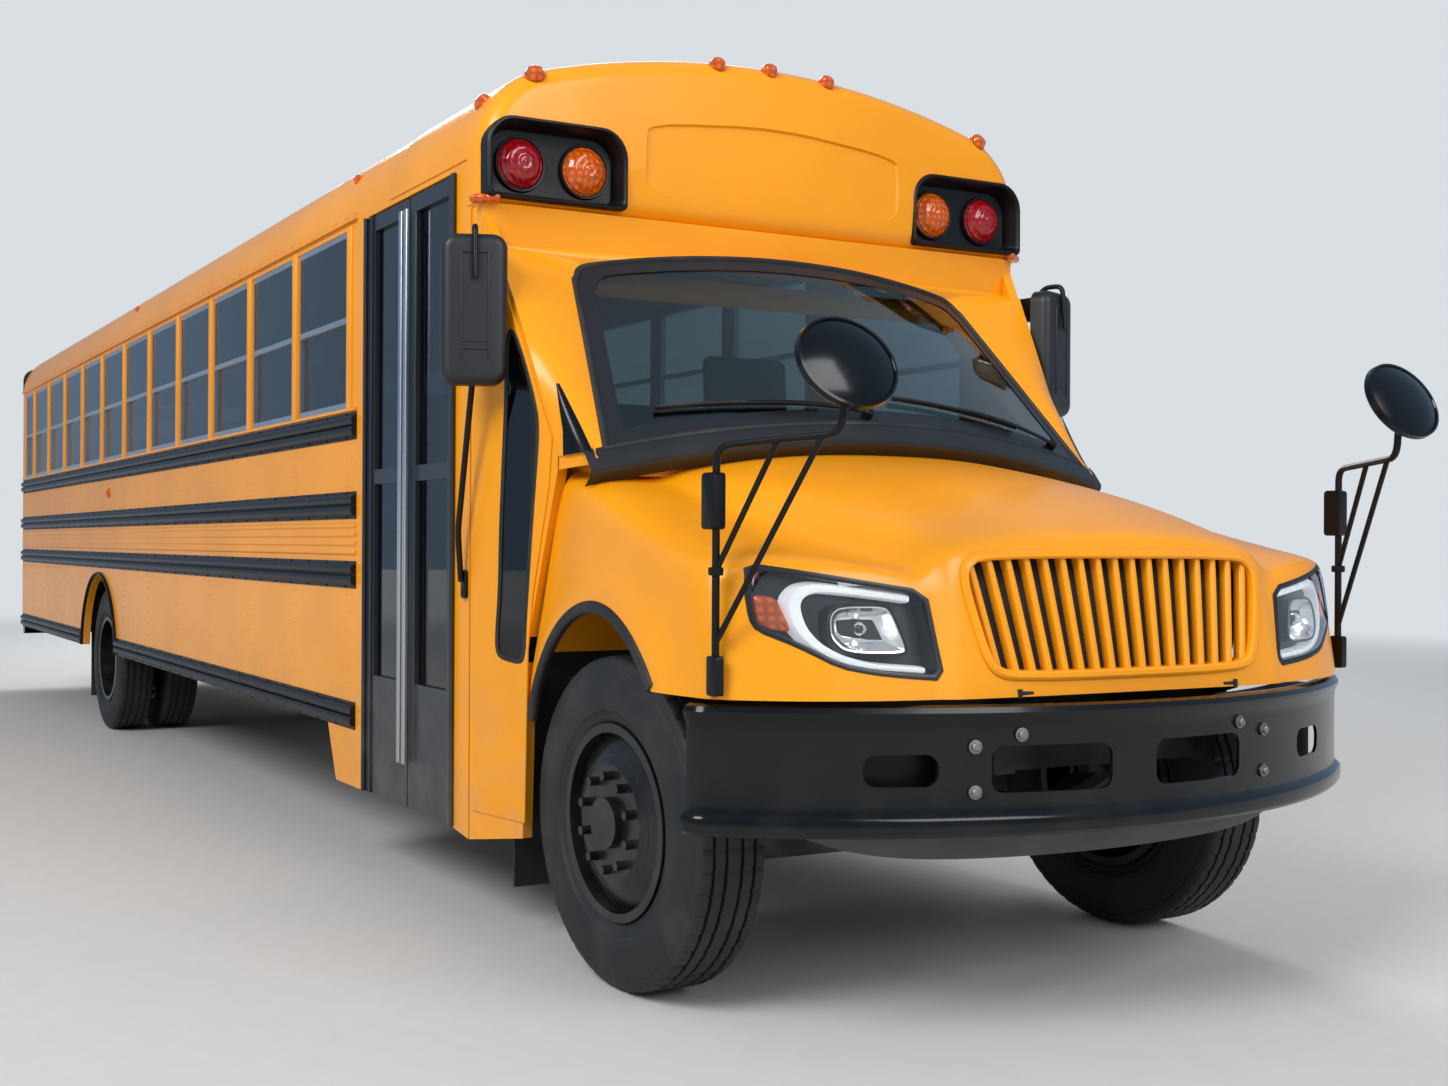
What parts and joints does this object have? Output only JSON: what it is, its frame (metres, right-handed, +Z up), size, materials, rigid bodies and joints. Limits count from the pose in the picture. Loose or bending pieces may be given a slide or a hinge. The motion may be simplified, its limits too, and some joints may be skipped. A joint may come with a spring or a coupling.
{
  "type": "school bus",
  "caption": "Conventional school bus: hollow body with seats, steering front axle, twin rear wheels, tilting hood, entry and rear doors.",
  "frame": {"origin": "on the ground, midway along the bus and midway between its sides", "axes": "+X forward, +Y to the driver's side, +Z up"},
  "size_m": [12.2053, 2.8368, 3.2016],
  "materials": {
    "frame_black": "satin black chassis paint",
    "dark_steel": "dark bare steel",
    "cast_block": "rough casting",
    "radiator_black": "matt black",
    "exhaust_steel": "dull steel",
    "floor_rubber": "ribbed rubber",
    "school_yellow": "gloss school bus yellow enamel",
    "roof_white": "gloss white",
    "dash_plastic": "grained",
    "step_rubber": "ribbed",
    "trim_black": "satin black",
    "sash_alloy": "mill finish",
    "side_glass": "dark tint",
    "windshield_glass": "light tint",
    "bumper_black": "gloss black",
    "lamp_black": "gloss black",
    "lamp_lens": "red and amber lenses",
    "mirror_plastic": "grained black",
    "flap_rubber": "matt",
    "seat_vinyl": "stitched vinyl",
    "seat_fabric": "woven",
    "wheel_black": "gloss black",
    "tyre": "rubber",
    "door_grey": "satin dark grey",
    "headlight_lens": "clear lens over chrome bowls",
    "stop_red": "gloss red"
  },
  "bodies": {
    "body": {"chassis_frame": "frame_black", "front_axle": "frame_black", "rear_axle": "frame_black", "leaf_springs": "dark_steel", "engine_block": "cast_block", "radiator": "radiator_black", "drive_shaft": "dark_steel", "fuel_tank": "frame_black", "exhaust": "exhaust_steel", "floor": "floor_rubber", "side_wall_right": "school_yellow", "side_wall_left": "school_yellow", "roof": "roof_white", "front_cap": "school_yellow", "rear_wall": "school_yellow", "cowl": "school_yellow", "dashboard": "dash_plastic", "step_well": "step_rubber", "rub_rails": "trim_black", "window_frames": "sash_alloy", "side_glass": "side_glass", "windshield": "windshield_glass", "front_bumper": "bumper_black", "rear_bumper": "bumper_black", "lamp_housings": "lamp_black", "signal_lamps": "lamp_lens", "side_mirrors": "mirror_plastic", "mud_flaps": "flap_rubber", "wipers": "trim_black", "passenger_seats": "seat_vinyl", "driver_seat": "seat_fabric"},
    "knuckle_left": {"knuckle_left": "cast_block"},
    "knuckle_right": {"knuckle_right": "cast_block"},
    "front_wheel_left": {"front_wheel_left": "wheel_black", "front_tyre_left": "tyre"},
    "front_wheel_right": {"front_wheel_right": "wheel_black", "front_tyre_right": "tyre"},
    "rear_wheels_left": {"rear_wheels_left": "wheel_black", "rear_tyres_left": "tyre"},
    "rear_wheels_right": {"rear_wheels_right": "wheel_black", "rear_tyres_right": "tyre"},
    "entry_leaf_front": {"entry_door_front": "door_grey", "entry_glass_front": "side_glass"},
    "entry_leaf_rear": {"entry_door_rear": "door_grey", "entry_glass_rear": "side_glass"},
    "rear_door": {"rear_door": "school_yellow", "rear_door_glass": "side_glass"},
    "hood": {"hood": "school_yellow", "grille": "school_yellow", "headlights": "headlight_lens", "crossview_mirrors": "trim_black"},
    "stop_arm": {"stop_arm": "stop_red"}
  },
  "joints": [
    {"name": "steer_left", "type": "hinge", "parent": "body", "child": "knuckle_left", "pos_m": [4.99, 0.86, 0.509], "axis": [0, 0, 1], "range_deg": [-38, 38]},
    {"name": "steer_right", "type": "hinge", "parent": "body", "child": "knuckle_right", "pos_m": [4.99, -0.86, 0.509], "axis": [0, 0, 1], "range_deg": [-38, 38]},
    {"name": "front_wheel_left_spin", "type": "hinge", "parent": "knuckle_left", "child": "front_wheel_left", "pos_m": [4.99, 1.02, 0.509], "axis": [0, 1, 0], "continuous": true},
    {"name": "front_wheel_right_spin", "type": "hinge", "parent": "knuckle_right", "child": "front_wheel_right", "pos_m": [4.99, -1.02, 0.509], "axis": [0, 1, 0], "continuous": true},
    {"name": "rear_wheels_left_spin", "type": "hinge", "parent": "body", "child": "rear_wheels_left", "pos_m": [-2.45, 0.886, 0.509], "axis": [0, 1, 0], "continuous": true},
    {"name": "rear_wheels_right_spin", "type": "hinge", "parent": "body", "child": "rear_wheels_right", "pos_m": [-2.45, -0.886, 0.509], "axis": [0, 1, 0], "continuous": true},
    {"name": "entry_leaf_rear_swing", "type": "hinge", "parent": "body", "child": "entry_leaf_rear", "pos_m": [3.074, -1.2293, 1.5], "axis": [0, 0, -1], "range_deg": [0, 88]},
    {"name": "entry_leaf_front_swing", "type": "hinge", "parent": "body", "child": "entry_leaf_front", "pos_m": [3.976, -1.2293, 1.5], "axis": [0, 0, 1], "range_deg": [0, 88]},
    {"name": "rear_door_swing", "type": "hinge", "parent": "body", "child": "rear_door", "pos_m": [-6.0303, -0.466, 1.9], "axis": [0, 0, 1], "range_deg": [0, 110]},
    {"name": "hood_tilt", "type": "hinge", "parent": "body", "child": "hood", "pos_m": [5.958, 0, 0.96], "axis": [0, 1, 0], "range_deg": [0, 55]},
    {"name": "stop_arm_swing", "type": "hinge", "parent": "body", "child": "stop_arm", "pos_m": [2.91, 1.257, 1.372], "axis": [0, 0, -1], "range_deg": [0, 90]}
  ],
  "couplings": [
    {"joint": "steer_right", "follows": "steer_left", "ratio": 1},
    {"joint": "entry_leaf_front_swing", "follows": "entry_leaf_rear_swing", "ratio": 1}
  ]
}
